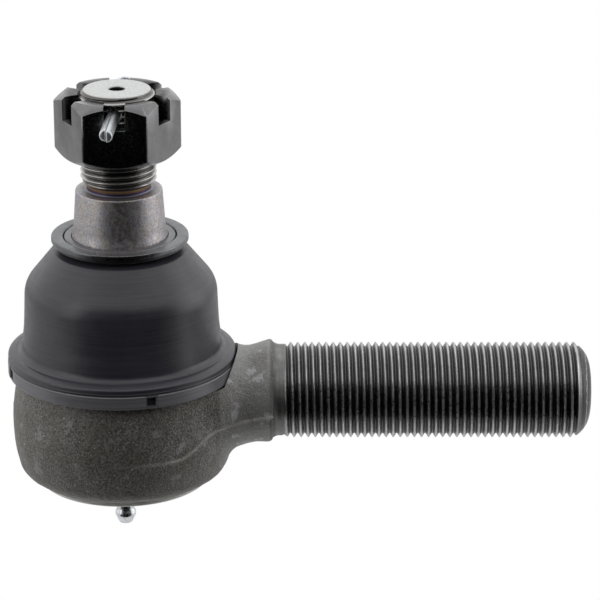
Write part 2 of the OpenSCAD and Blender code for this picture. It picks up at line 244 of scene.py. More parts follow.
def prism(name, outline, z0, z1):
    """Upright prism from an outline of (x, y)."""
    count = len(outline)
    points = [(x, y, z) for z in (z0, z1) for x, y in outline]
    return make(name, points, lattice(2, count) + end_caps(2, count))


def corner_radius(across_flats):
    """Radius of a hexagon's corners."""
    return across_flats / 2 / math.cos(math.pi / 6)


def hexagon(across_flats):
    """Corners of a hexagon, one of them on +X."""
    r = corner_radius(across_flats)
    corners = [math.radians(60 * k) for k in range(6)]
    return [(r * math.cos(a), r * math.sin(a)) for a in corners]


def bar(name, width, height, reach, azimuth, z):
    """Cutting bar that crosses the axis level, at an azimuth in degrees."""
    a = math.radians(azimuth)
    along = Vector((math.cos(a), math.sin(a), 0))
    across = Vector((-math.sin(a), math.cos(a), 0)) * width / 2
    up = Vector((0, 0, height))
    ends = [-along * reach, along * reach]
    points = [e + s * across + up * h + Vector((0, 0, z)) for e in ends for h in (0, 1) for s in (-1, 1)]
    faces = [(0, 1, 3, 2), (4, 6, 7, 5), (0, 4, 5, 1), (2, 3, 7, 6), (0, 2, 6, 4), (1, 5, 7, 3)]
    return make(name, points, faces)


# ---- Threads ----

def thread_radius(phase, pitch, major):
    """Radius of a unified thread at a phase of its pitch, 0 at the middle of a crest."""
    crest, flank, round_off = 0.0625, 0.375, 0.0015
    depth = THREAD_DEPTH * pitch
    off = abs(phase - round(phase))
    share = (off - crest) / flank
    share = 0.5 * (share + math.sqrt(share * share + round_off))
    share = 1 - 0.5 * (1 - share + math.sqrt((1 - share) ** 2 + 4 * round_off))
    return major - depth * share


def threaded(pitch, major, z0, z1, limit, crest_z):
    """Rows of a right-handed thread from z0 to z1 that follow its helix.

    limit(z, r) gives the radius that is left of r at a height, for chamfers and run-outs.
    """
    phases = [-0.1, -0.045, 0.045, 0.1, 0.25, 0.4, 0.47, 0.53, 0.6, 0.75]
    base = crest_z - pitch * (math.ceil((crest_z - z0) / pitch) + 1)
    turns = math.ceil((z1 - base) / pitch) + 1
    points = []
    rows = [turn + phase for turn in range(turns) for phase in phases]
    for row in rows:
        for j in range(FINE + 1):
            share = j / FINE
            z = min(max(base + pitch * (row + share), z0), z1)
            phase = (z - base) / pitch - share
            r = limit(z, thread_radius(phase, pitch, major))
            a = 2 * math.pi * share
            points.append((r * math.cos(a), r * math.sin(a), z))
    return points, lattice(len(rows), FINE + 1, close_columns=False)


def threaded_solid(name, before, thread, after, along_x=False):
    """Turned solid with a threaded stretch between two open outlines."""
    points, faces = [], []
    for part_points, part_faces in (turned(before, False), thread, turned(after, False)):
        shift = len(points)
        points += part_points
        faces += [tuple(i + shift for i in f) for f in part_faces]
    if along_x:
        points = [(z, x, y) for x, y, z in points]
    return make(name, points, faces, sharp=60)


# ---- Housing: forged eye, neck and shank ----

FLASH_MARK = "flash"
SPIGOT_R = 30
SPIGOT_FOOT_Z = 6.6
SPIGOT_TOP_Z = 12.5
SEAT_CUT_R = 34.45
EYE_BOTTOM_Z = -25.5
LIP_Z = -27.1
LIP_R = 25.7
LIP_INNER_R = 21.4
NECK_END = 44.9
RELIEF_R = 13.7


def smooth_min(a, b, k):
    """Smaller of two distances, blended with a fillet of about k."""
    h = np.clip(0.5 + 0.5 * (b - a) / k, 0, 1)
    return b + (a - b) * h - k * h * (1 - h)


def smooth_max(a, b, k):
    """Larger of two distances, blended likewise."""
    return -smooth_min(-a, -b, k)


def smoothstep(x, low, high):
    """Rises smoothly from 0 at low to 1 at high."""
    t = np.clip((x - low) / (high - low), 0, 1)
    return t * t * (3 - 2 * t)


def eye_distance(x, y, z):
    """Distance from the eye's outside: a barrel that is widest just below the ball centre."""
    belly_z, bend_low, bend_high, top_z = -9, 48, 62, 16
    foot_r, foot_slope = 26.9, math.radians(35)
    bend = np.where(z < belly_z, bend_low, bend_high)
    r = np.hypot(x, y)
    side = r - (EYE_R - (z - belly_z) ** 2 / 2 / bend)
    foot = math.sin(foot_slope) * (r - foot_r) - math.cos(foot_slope) * (z - EYE_BOTTOM_Z)
    body = smooth_max(smooth_max(side, foot, 1.4), EYE_BOTTOM_Z - z, 0.5)
    return smooth_max(body, z - top_z, 1)


def neck_distance(x, y, z):
    """Distance from the neck: a bar whose axis dips below the shank's towards the eye."""
    waist_x, waist_r, end_r = 38.5, 14.7, 15.4
    back = np.clip(waist_x - x, 0, 9)
    ahead = np.clip(x - waist_x, 0, None)
    r = waist_r + 0.03 * back ** 2 + (end_r - waist_r) * np.minimum(ahead / 5, 1) ** 1.5
    drop = 1.9 * (1 - smoothstep(x, 34, NECK_END + 1))
    radial = np.hypot(y, z + drop) - r
    end = smooth_max(radial, x - NECK_END, 1.6)
    return smooth_max(end, 12 - x, 1)


def parting_height(x):
    """Height of the forging's parting line: level around the eye, climbing along the neck."""
    eye_z, neck_z, slope, climb = -11.3, -2.84, 0.206, 0.007
    along_neck = neck_z + slope * (x - 44.2)
    along_eye = eye_z + climb * np.minimum(x, 0) ** 2
    return along_eye + (along_neck - along_eye) * smoothstep(x, 16.5, 27)


def forging_distance(x, y, z):
    """Distance from the forging's skin, with the trimmed flash as a low ridge."""
    ridge_h, ridge_w, step = 0.42, 0.42, 0.35
    fillet = 3.2 + 6 * smoothstep(z, -7, 3)
    body = smooth_min(eye_distance(x, y, z), neck_distance(x, y, z), fillet)
    off = z - parting_height(x)
    ridge = ridge_h * np.exp(-(off / ridge_w) ** 2)
    below = step * (1 - smoothstep(off, -1.2, 0.2)) * smoothstep(off, -9, -2)
    seen = 0.25 + 0.75 * smoothstep(x, 2, 20)
    return body - ridge * seen - below * smoothstep(x, -4, 16)


def surface_net(distance, low, high, step):
    """Points and quads of the surface distance = 0, one point for each grid cell that it crosses."""
    axes = [np.arange(a, b + step, step) for a, b in zip(low, high)]
    grid = np.meshgrid(*axes, indexing="ij")
    value = distance(*grid)
    inside = value < 0
    corners = [(i, j, k) for i in (0, 1) for j in (0, 1) for k in (0, 1)]
    shape = [n - 1 for n in value.shape]

    def shifted(array, offset):
        i, j, k = offset
        return array[i:i + shape[0], j:j + shape[1], k:k + shape[2]]

    count = sum(shifted(inside, c).astype(np.int8) for c in corners)
    crossed = (count > 0) & (count < 8)
    cells = np.argwhere(crossed)
    number = np.full(shape, -1, np.int64)
    number[crossed] = np.arange(len(cells))
    total = np.zeros((len(cells), 3))
    hits = np.zeros(len(cells))
    for a in corners:
        for axis in range(3):
            if a[axis]:
                continue
            b = tuple(v + (1 if n == axis else 0) for n, v in enumerate(a))
            va = shifted(value, a)[crossed]
            vb = shifted(value, b)[crossed]
            cut = (va < 0) != (vb < 0)
            share = np.where(cut, va / np.where(cut, va - vb, 1), 0)
            place = np.tile(np.array(a, float), (len(cells), 1))
            place[:, axis] = share
            total[cut] += place[cut]
            hits[cut] += 1
    points = np.array(low) + (cells + total / hits[:, None]) * step
    faces = []
    for axis in range(3):
        u, v = [n for n in range(3) if n != axis]
        first = np.take(inside, range(value.shape[axis] - 1), axis)
        second = np.take(inside, range(1, value.shape[axis]), axis)
        places = np.argwhere(first != second)
        places = places[(places[:, u] > 0) & (places[:, v] > 0)]
        quad = []
        for du, dv in ((0, 0), (1, 0), (1, 1), (0, 1)):
            cell = places.copy()
            cell[:, u] -= du
            cell[:, v] -= dv
            quad.append(number[cell[:, 0], cell[:, 1], cell[:, 2]])
        faces.append(np.stack(quad, 1))
    return points, np.concatenate(faces)


def gradient(distance, points):
    """Slope of a distance at each point, and the length of that slope."""
    reach = 0.05
    parts = []
    for axis in range(3):
        ahead, back = points.copy(), points.copy()
        ahead[:, axis] += reach
        back[:, axis] -= reach
        parts.append((distance(*ahead.T) - distance(*back.T)) / (2 * reach))
    slope = np.stack(parts, 1)
    return slope, np.linalg.norm(slope, axis=1, keepdims=True)


def settle(distance, points):
    """Moves points onto the surface distance = 0."""
    for _ in range(3):
        slope, size = gradient(distance, points)
        points = points - slope / size ** 2 * distance(*points.T)[:, None]
    return points


def forged_waviness(points, normals):
    """Uneven skin that a worn die leaves: swells of a few millimetres under small dents."""
    swell_size, swell_h, dent_size, dent_h = 6, 0.16, 1.7, 0.06
    for i, p in enumerate(points):
        swell = noise.noise(Vector(p) / swell_size) * swell_h
        dent = noise.noise(Vector(p) / dent_size + Vector((7, 3, 1))) * dent_h
        points[i] = p + normals[i] * (swell + dent)
    return points


def forged_body():
    """Eye and neck as forged, before machining."""
    low, high = (-EYE_R - 2, -EYE_R - 2, EYE_BOTTOM_Z - 2), (NECK_END + 2, EYE_R + 2, 18)
    points, faces = surface_net(forging_distance, low, high, 0.5)
    points = settle(forging_distance, points)
    slope, size = gradient(forging_distance, points)
    points = forged_waviness(points, slope / size)
    return make("housing_forging", points, faces)


def lip_ring():
    """Rolled lip that holds the bottom plug."""
    root_r = LIP_INNER_R + 1.4
    outline = rounded([
        (root_r, EYE_BOTTOM_Z + 3), (root_r, EYE_BOTTOM_Z + 0.9), (LIP_INNER_R, EYE_BOTTOM_Z + 0.3),
        (LIP_INNER_R, LIP_Z + 0.2), (LIP_INNER_R + 1, LIP_Z, 0.8), (LIP_R, LIP_Z, 0.7),
        (LIP_R, EYE_BOTTOM_Z + 3),
    ], 0.25)
    return lathe("lip", outline, segments=128)


def machined_room():
    """Outline of what is turned away: the boot's seat, the socket's bore and the plug's pocket."""
    bore_r, pocket_r, throat_r, cone_r = 22.2, 23.2, 18.2, 19.1
    clear_z = 40
    return rounded([
        (0, LIP_Z - 2), (LIP_INNER_R, LIP_Z - 2), (LIP_INNER_R, PLUG_Z + 3.15), (pocket_r, PLUG_Z + 3.15),
        (pocket_r, PLUG_TOP_Z + 2), (bore_r, PLUG_TOP_Z + 2), (bore_r, 3.2), (cone_r, 9.45),
        (throat_r, 9.45), (throat_r, SPIGOT_TOP_Z - 1), (throat_r + 1, SPIGOT_TOP_Z),
        (SPIGOT_R - 1.5, SPIGOT_TOP_Z), (SPIGOT_R, SPIGOT_TOP_Z - 1.5), (SPIGOT_R, SPIGOT_FOOT_Z, 0.6),
        (SEAT_CUT_R, SPIGOT_FOOT_Z, 0.5), (SEAT_CUT_R, clear_z), (0, clear_z),
    ], 0.15, closed=False)


def shank():
    """Turned shank: run-out under the neck, plain relief, thread and chamfered tip."""
    root_x, run_out_x, fade_in, full_at, crest_x = 43.6, 46.8, 47.6, 49.6, 54.49
    crown, sharpness = 4.9, 4.5
    tip_r, run_out_r = 10.5, 3

    def crown_x(r):
        return SHANK_REACH - crown * (r / SHANK_R) ** sharpness

    def limit(x, r):
        lead = min(1, max(0, (x - fade_in) / (full_at - fade_in)))
        ceiling = RELIEF_R + (SHANK_R - RELIEF_R) * min(1, max(0, (x - 48.3) / 1.4))
        groove = ceiling - min(ceiling, r)
        left = max(SHANK_REACH - x, 0) / crown
        return min(ceiling - groove * min(1, lead * 1.6), SHANK_R * left ** (1 / sharpness))

    tip_x = crown_x(tip_r)
    before = [(0, root_x), (RELIEF_R + 0.7, root_x)]
    before += arc((RELIEF_R + run_out_r, run_out_x), run_out_r, 222, 180, 8)
    before += [(RELIEF_R, fade_in - 0.3), (RELIEF_R, fade_in)]
    after = [(tip_r * k / 12, crown_x(tip_r * k / 12)) for k in range(12, -1, -1)]
    thread = threaded(SHANK_PITCH, SHANK_R, fade_in, tip_x, limit, crest_x - SHANK_PITCH / 4)
    return threaded_solid("shank", before, thread, after, along_x=True)


# ---- Stud, nut and cotter pin ----

LAND_R = 14.15
TAPER_R = 13.55
TAPER_FOOT_Z = 50.1
SHOULDER_Z = 63.5
RELIEF_TOP_Z = 65.3
COTTER_Z = 88.2
COTTER_D = 3.7
COTTER_HOLE_D = 5.2
COTTER_TURN = 3.7


def taper_radius(z):
    """Radius of the 1:8 taper at a height."""
    return TAPER_R - (z - TAPER_FOOT_Z) / 16


def turned_stud():
    """Ball, neck, land, taper and thread in one piece."""
    ball_r, neck_r, root_r, centre_r = 19, 10.5, 9.45, 2.3
    neck_z, crest_z = 16.4, 72.2
    thread_top = STUD_TOP_Z - 0.3

    def limit(z, r):
        up = root_r + (z - RELIEF_TOP_Z) * 1.2
        down = STUD_R - (z - (STUD_TOP_Z - 1.5))
        return min(r, up, down)

    ball_start = math.degrees(math.asin(BALL_BOTTOM_Z / ball_r))
    ball_end = math.degrees(math.acos(neck_r / ball_r)) - 0.5
    before = [(0, BALL_BOTTOM_Z)] + arc((0, 0), ball_r, ball_start, ball_end, 40)
    before += rounded([
        (neck_r, neck_z, 1.5), (neck_r, 22, 3), (LAND_R - 1, 34, 3), (LAND_R, 38, 1),
        (LAND_R, WASHER_TOP_Z - 0.2, 0.4), (TAPER_R, TAPER_FOOT_Z + 1.4, 2),
        (taper_radius(SHOULDER_Z), SHOULDER_Z, 0.55), (root_r, SHOULDER_Z, 0.5), (root_r, RELIEF_TOP_Z),
    ], 0.4, closed=False, steps=6)[1:]
    after = rounded([
        (limit(thread_top, STUD_R), thread_top), (STUD_R - 1.5, STUD_TOP_Z, 0.5),
        (STUD_R - 2.6, STUD_TOP_Z, 0), (4, STUD_TOP_Z, 0), (0, STUD_TOP_Z),
    ], closed=False, steps=6)
    thread = threaded(STUD_PITCH, STUD_R, RELIEF_TOP_Z, thread_top, limit, crest_z)
    piece = threaded_solid("stud", before, thread, after)
    cut(piece, rounded([
        (0, STUD_TOP_Z - 6), (centre_r - 1, STUD_TOP_Z - 5.4), (centre_r, STUD_TOP_Z - 4.4),
        (centre_r, STUD_TOP_Z - 0.35), (centre_r + 0.5, STUD_TOP_Z + 0.15),
        (centre_r + 0.5, STUD_TOP_Z + 2), (0, STUD_TOP_Z + 2),
    ], 0.1, closed=False), segments=48, sharp=60)
    return combine(piece, cross_drill(), "DIFFERENCE", 60)


def cotter_frame(points, droop):
    """Points about +Y, drooped and turned in degrees, and lifted to the cotter pin's place."""
    azimuth = Matrix.Rotation(math.radians(-COTTER_TURN), 3, "Z")
    turn = azimuth @ Matrix.Rotation(math.radians(droop), 3, "X")
    return [turn @ Vector(p) + Vector((0, 0, COTTER_Z)) for p in points]


def cross_drill():
    """Drill that makes the cotter pin's hole."""
    reach, hole_r = STUD_R + 3, COTTER_HOLE_D / 2
    points, faces = turned([(0, -reach), (hole_r, -reach), (hole_r, reach), (0, reach)], False, 48)
    return make("cross_drill", cotter_frame(points, 90), faces)


def slotted_nut():
    """Hexagon nut, chamfered at both ends, with six slots."""
    bottom_r, bottom_slope, top_r, top_slope = 15.6, 0.77, 15.4, 0.84
    slot_w, slot_depth = 6.1, 7
    out_r = corner_radius(NUT_AF) + 1
    bore_r = STUD_R + 0.05
    piece = prism("nut", rounded(hexagon(NUT_AF), 1.1), NUT_Z, NUT_TOP_Z)
    cut(piece, [
        (0, NUT_Z), (bottom_r, NUT_Z), (out_r, NUT_Z + (out_r - bottom_r) * bottom_slope),
        (out_r, NUT_TOP_Z - (out_r - top_r) * top_slope), (top_r, NUT_TOP_Z), (0, NUT_TOP_Z),
    ], "INTERSECT", 192)
    cut(piece, [
        (0, NUT_Z - 1), (bore_r + 1.6, NUT_Z - 1), (bore_r, NUT_Z + 0.6), (bore_r, NUT_TOP_Z - 0.5),
        (bore_r + 1.3, NUT_TOP_Z + 1), (0, NUT_TOP_Z + 1),
    ])
    for k in range(3):
        slot = bar("slot", slot_w, slot_depth + 1, out_r + 2, 90 + 60 * k, NUT_TOP_Z - slot_depth)
        combine(piece, slot, "DIFFERENCE")
    return soften(piece, 0.28, 25)


def cotter_path():
    """Line of the cotter pin's flat side, level: front leg end, round the eye and back."""
    front, eye_y, eye_r, bend_r, split, step, shorter = -27, 20.6, 1.5, 2.3, 0.1, 0.5, 0.8
    bend_x = split + bend_r
    drop = math.sqrt((bend_r + eye_r) ** 2 - bend_x ** 2)
    lean = math.degrees(math.atan2(drop, bend_x))
    leg = [(split, front + k * step) for k in range(int((eye_y - drop - front) / step) + 1)]
    first = arc((bend_x, eye_y - drop), bend_r, 180, 180 - lean, 5)
    loop = arc((0, eye_y), eye_r, -lean, 180 + lean, 28)
    last = arc((-bend_x, eye_y - drop), bend_r, lean, 0, 5)
    back = [(-x, y) for x, y in reversed(leg) if y > front + shorter]
    return leg[:-1] + first[:-1] + loop[:-1] + last + back[1:]


def swept_cotter():
    """Half-round wire swept along the pin's path, its ends dressed round."""
    r = COTTER_D / 2
    middle, flat_edge, shift, droop = 0.42 * r, 0.3, -0.1, 2
    half = arc((0, 0), r, -82, 82, 16)
    section = [(0, -r + flat_edge)] + half + [(0, r - flat_edge)]
    path = [Vector((x, y, 0)) for x, y in cotter_path()]
    ends = [(0, 0.62), (0.12, 0.86), (0.4, 1.0)]
    stations = [(path[0] + Vector((0, d, 0)), Vector((0, 1, 0)), s) for d, s in ends]
    for i in range(1, len(path) - 1):
        stations.append((path[i], (path[i + 1] - path[i - 1]).normalized(), 1.0))
    stations += [(path[-1] + Vector((0, d, 0)), Vector((0, -1, 0)), s) for d, s in reversed(ends)]
    points = []
    for place, along, scale in stations:
        side = Vector((along.y, -along.x, 0))
        for a, b in section:
            points.append(place + side * (middle + (a - middle) * scale) + Vector((0, 0, b * scale)))
    size = len(stations), len(section)
    points = [p + Vector((shift, 0, 0)) for p in cotter_frame(points, droop)]
    return make("cotter", points, lattice(*size) + end_caps(*size), sharp=40)


# ---- Seals ----

BOOT_SPLIT_Z = 26.4
BOOT_SHOULDER = (19.5, 31.2)
BOOT_SHOULDER_R = 9
BOOT_WAIST = (28.9, 22)
BOOT_SPLIT_R = 28.7
BOOT_RIM = (20, 44.9)
BOOT_WALL = 2.2
BUSHING_R = 15.8


def boot_lower_outline():
    """Foot, flange and wall of the boot, up to the split in its wall."""
    grip_r, flange_r, flange_z, spigot_r = 32.55, RING_R - 0.13, 13, SPIGOT_R + 0.05
    seam_z, seam = RING_TOP_Z + 0.75, 0.14
    outside = rounded([
        (grip_r, RING_TOP_Z + 0.05), (flange_r, RING_TOP_Z + 0.05, 0.15), (flange_r, seam_z - 0.15, 0.1),
        (flange_r - seam, seam_z, 0.1), (flange_r, seam_z + 0.15, 0.1), (flange_r, flange_z, 0.5),
        (31.9, 13.75, 0.5), (31.2, 13.8, 0),
    ], closed=False, steps=4)
    outside += arc((31.75, 15.9), 2.2, 252, 183, 12)
    outside += rounded([(29.5, 16.8), BOOT_WAIST, (BOOT_SPLIT_R, BOOT_SPLIT_Z)], 3, closed=False)
    inside = [(BOOT_SPLIT_R - BOOT_WALL, BOOT_SPLIT_Z), (BOOT_WAIST[0] - BOOT_WALL, BOOT_WAIST[1]),
              (27.6, 15), (spigot_r, 12.2), (spigot_r, RING_Z + 0.5), (spigot_r + 0.4, RING_Z + 0.1),
              (grip_r - 0.2, RING_Z + 0.1), (grip_r, RING_Z + 0.35)]
    return outside + inside


def boot_upper_outline():
    """Shoulder, cone and lip of the boot, from the split to the groove."""
    neck_r, groove_z, bore_r, bore_z, turn = 16.8, 45.5, BUSHING_R + 0.05, 38.5, 39.5
    outside = [(BOOT_SPLIT_R, BOOT_SPLIT_Z)]
    outside += arc(BOOT_SHOULDER, BOOT_SHOULDER_R, 0, turn, 16)
    outside += rounded([(20.8, 43.9), (*BOOT_RIM, 0.5), (neck_r, groove_z, 0.3),
                        (neck_r, BOOT_TOP_Z, 0.15), (bore_r, BOOT_TOP_Z, 0.1),
                        (bore_r, bore_z)], 0.3, closed=False)
    inside = [(18, bore_z), (18.7, 41.5)]
    inside += arc(BOOT_SHOULDER, BOOT_SHOULDER_R - BOOT_WALL, turn, 0, 12)
    inside += [(BOOT_SPLIT_R - BOOT_WALL, BOOT_SPLIT_Z)]
    return outside + inside


def apart(a, b):
    """Angle between two directions, in degrees."""
    return abs((a - b + 180) % 360 - 180)


def ring_angles(slots, halves):
    """Angles around the ring where its mesh has points: closer together at the slots."""
    marks = {round(a, 4) for a in np.linspace(-180, 180, 145)[:-1]}
    near = math.degrees(2.6 / RING_R)
    for slot in slots:
        marks = {a for a in marks if apart(a, slot) > near}
        for half in (0, *halves):
            step = math.degrees(half / RING_R)
            marks |= {round((slot + s * step + 180) % 360 - 180, 4) for s in (-1, 1)}
    return sorted(marks)


def retaining_ring():
    """Strip ring around the boot's foot, with four framed purge slots."""
    inner_r, edge, edge_in = RING_R - 1.43, 0.3, 0.18
    frame_half, ramp, slot_half, dent = 1.95, 0.12, 1.4, 0.22
    middle_z = (RING_Z + RING_TOP_Z) / 2
    slots = [-72.5, -162, 24, 104]
    marks = ring_angles(slots, (frame_half + ramp, frame_half, slot_half + 0.1, slot_half))
    levels = [RING_Z + 0.05, RING_Z + edge, middle_z - slot_half, middle_z + slot_half,
              RING_TOP_Z - edge, RING_TOP_Z - 0.05]
    count, last = len(marks), len(levels) - 1

    def to_slot(a):
        return min(apart(a, slot) for slot in slots) * math.pi / 180 * RING_R

    def is_open(i, j):
        middle = marks[i] + (marks[(i + 1) % count] - marks[i]) % 360 / 2
        return j == 2 and to_slot(middle) < slot_half

    points, faces, index = [], [], {}
    for i, a in enumerate(marks):
        sunk = dent * (1 - smoothstep(to_slot(a), frame_half, frame_half + ramp))
        turn = math.radians(a)
        for j, z in enumerate(levels):
            for side, r in enumerate((RING_R - (sunk if 0 < j < last else edge_in), inner_r)):
                index[i, j, side] = len(points)
                points.append((r * math.cos(turn), r * math.sin(turn), z))

    def face(*corners):
        faces.append(tuple(index[corner] for corner in corners))

    for i in range(count):
        n = (i + 1) % count
        for j in range(last):
            if is_open(i, j):
                continue
            face((i, j, 0), (n, j, 0), (n, j + 1, 0), (i, j + 1, 0))
            face((i, j, 1), (i, j + 1, 1), (n, j + 1, 1), (n, j, 1))
            for row, other in ((j, j - 1), (j + 1, j + 1)):
                if other in (-1, last) or is_open(i, other):
                    face((i, row, 0), (n, row, 0), (n, row, 1), (i, row, 1))
            for column, other in ((i, (i - 1) % count), (n, n)):
                if is_open(other, j):
                    face((column, j, 0), (column, j + 1, 0), (column, j + 1, 1), (column, j, 1))
    return make("boot_ring", points, faces, sharp=30)


def top_stack():
    """Bushing, washer, lip ring and garter that close the top of the boot."""
    bore_r = LAND_R + 0.06
    rim_in = BUSHING_RIM_R + 0.1
    bushing = lathe("bushing", rounded([
        (bore_r, BUSHING_Z + 0.5), (bore_r + 0.6, BUSHING_Z), (BUSHING_R, BUSHING_Z),
        (BUSHING_R, WASHER_Z), (BUSHING_RIM_R, WASHER_Z), (BUSHING_RIM_R, WASHER_TOP_Z - 0.6, 0.2),
        (BUSHING_RIM_R - 0.35, WASHER_TOP_Z - 0.15, 0.2), (bore_r, WASHER_TOP_Z - 0.1, 0.35),
    ], 0.15))
    washer = lathe("washer", rounded([
        (rim_in, WASHER_Z), (WASHER_R, WASHER_Z, 0.35), (WASHER_R, WASHER_TOP_Z, 0.45),
        (rim_in + 0.3, WASHER_TOP_Z, 0.25), (rim_in, WASHER_TOP_Z - 0.5, 0.2),
    ], 0.1, steps=6), segments=128)
    lip = lathe("lip_ring", rounded([
        (BUSHING_R + 0.05, LIP_RING_Z), (LIP_RING_R, LIP_RING_Z, 0.3), (LIP_RING_R, WASHER_Z - 0.02, 0.15),
        (BUSHING_R + 0.05, WASHER_Z - 0.02),
    ], 0.1), segments=128)
    return bushing, washer, lip, garter()


def garter():
    """Closed-wound wire ring that squeezes the boot's lip."""
    wire_r, outside_r, turns, per_turn, sides = 0.13, 0.46, 130, 8, 6
    ring_r = GARTER_R - outside_r
    coil_r = outside_r - wire_r
    points = []
    rows = turns * per_turn
    for i in range(rows):
        around = 2 * math.pi * i / rows
        twist = 2 * math.pi * i / per_turn
        out = Vector((math.cos(around), math.sin(around), 0))
        away = out * math.cos(twist) + Vector((0, 0, math.sin(twist)))
        centre = out * ring_r + away * coil_r + Vector((0, 0, GARTER_Z))
        tangent = Vector((-math.sin(around), math.cos(around), 0))
        for k in range(sides):
            a = 2 * math.pi * k / sides
            points.append(centre + away * wire_r * math.cos(a) + tangent * wire_r * math.sin(a))
    return make("garter", points, lattice(rows, sides, True), merge=0.00001)


# ---- Plug and grease nipple ----

def pressed_plug():
    """Dished plug with a boss for the nipple."""
    floor_z, boss_z, dish_r, thread_r = -25.2, -30.7, 18, 3.2
    return lathe("plug", rounded([
        (thread_r, floor_z, 0.2), (dish_r, floor_z, 1.2), (dish_r + 1.8, -22.5, 0.4),
        (dish_r + 2.4, PLUG_TOP_Z, 0.5), (PLUG_R, PLUG_TOP_Z, 0.3), (PLUG_R, floor_z, 0.3),
        (dish_r + 3, floor_z, 0.8), (dish_r + 0.6, PLUG_Z + 2.3, 1.6), (8.4, PLUG_Z + 2.3, 1.5),
        (6.6, boss_z, 0.8), (thread_r, boss_z, 0.2),
    ], 0.3, steps=5))


def nipple():
    """Grease nipple: hexagon, waist and round head with its mouth."""
    top_z, low_z, hex_af = -30.7, -34.9, 7.94
    waist_r, head_r, tip_r, mouth_r, bore_r, thread_r = 2.55, 3.15, 1.9, 0.75, 1.4, 3.175
    head_z = NIPPLE_Z + 3.1
    piece = prism("nipple_body", hexagon(hex_af), low_z, top_z)
    cone_r = corner_radius(hex_af)
    cut(piece, [
        (0, low_z), (cone_r - 0.75, low_z), (cone_r + 0.2, low_z + 0.55), (cone_r + 0.2, top_z), (0, top_z),
    ], "INTERSECT")
    cut(piece, rounded([
        (0, NIPPLE_Z), (tip_r, NIPPLE_Z, 0.4), (head_r, head_z - 0.4, 0.6), (head_r, head_z + 0.4, 0.6),
        (waist_r, head_z + 1.6, 0.5), (waist_r, head_z + 3.4, 0.7), (3.55, low_z + 0.4, 0.1),
        (thread_r, low_z + 0.4), (thread_r, NIPPLE_TOP_Z - 0.6), (2.6, NIPPLE_TOP_Z), (0, NIPPLE_TOP_Z),
    ], 0.2, closed=False), "UNION", 64)
    cut(piece, [
        (0, NIPPLE_Z - 1), (mouth_r + 0.35, NIPPLE_Z - 1), (mouth_r + 0.35, NIPPLE_Z + 0.02),
        (mouth_r, NIPPLE_Z + 0.35), (mouth_r, NIPPLE_Z + 0.8), (bore_r, NIPPLE_Z + 1.7),
        (bore_r, top_z - 0.8), (0.9, top_z - 0.3), (0.9, NIPPLE_TOP_Z + 1), (0, NIPPLE_TOP_Z + 1),
    ], segments=48)
    return soften(piece, 0.12, 35)


def coil(node, wire_r, turns, per_turn, sides):
    """Coil spring that fills the box of its CAD node."""
    low, high = span(node, Z)
    ring_r = radius_of(node) - wire_r
    rings = round(turns * per_turn)
    points = []
    for i in range(rings + 1):
        share = i / rings
        z = low + wire_r + (high - low - 2 * wire_r) * share
        a = 2 * math.pi * turns * share
        for k in range(sides):
            around = 2 * math.pi * k / sides
            r = ring_r + wire_r * math.cos(around)
            points.append((r * math.cos(a), r * math.sin(a), z + wire_r * math.sin(around)))
    return make("coil", points, lattice(rings + 1, sides) + end_caps(rings + 1, sides), sharp=60)


# ---- Materials ----

class Nodes:
    """Short-hand for the nodes of one tree."""

    def __init__(self, owner):
        owner.use_nodes = True
        self.tree = owner.node_tree

    def set(self, node, socket, value):
        """Links a socket to another node's output, or sets it to a number or colour."""
        target = node.inputs[socket]
        if isinstance(value, bpy.types.NodeSocket):
            self.tree.links.new(value, target)
        elif target.type == "RGBA":
            target.default_value = (*value, 1) if isinstance(value, tuple) else (value, value, value, 1)
        else:
            target.default_value = value

    def node(self, kind, settings=(), **sockets):
        made = self.tree.nodes.new("ShaderNode" + kind)
        for name, value in dict(settings).items():
            setattr(made, name, value)
        for name, value in sockets.items():
            self.set(made, name.replace("_", " "), value)
        return made

    def between(self, value, low, high, start=0.0, end=1.0):
        """Maps low..high to start..end, clamped."""
        made = self.node("MapRange", {"interpolation_type": "SMOOTHSTEP"}, Value=value)
        for socket, number in (("From Min", low), ("From Max", high), ("To Min", start), ("To Max", end)):
            self.set(made, socket, number)
        return made.outputs["Result"]

    def shade(self, factor, *shaders):
        """Mix of two shader nodes."""
        made = self.node("MixShader", Fac=factor)
        for i, shader in enumerate(shaders):
            self.set(made, i + 1, shader.outputs[0])
        return made


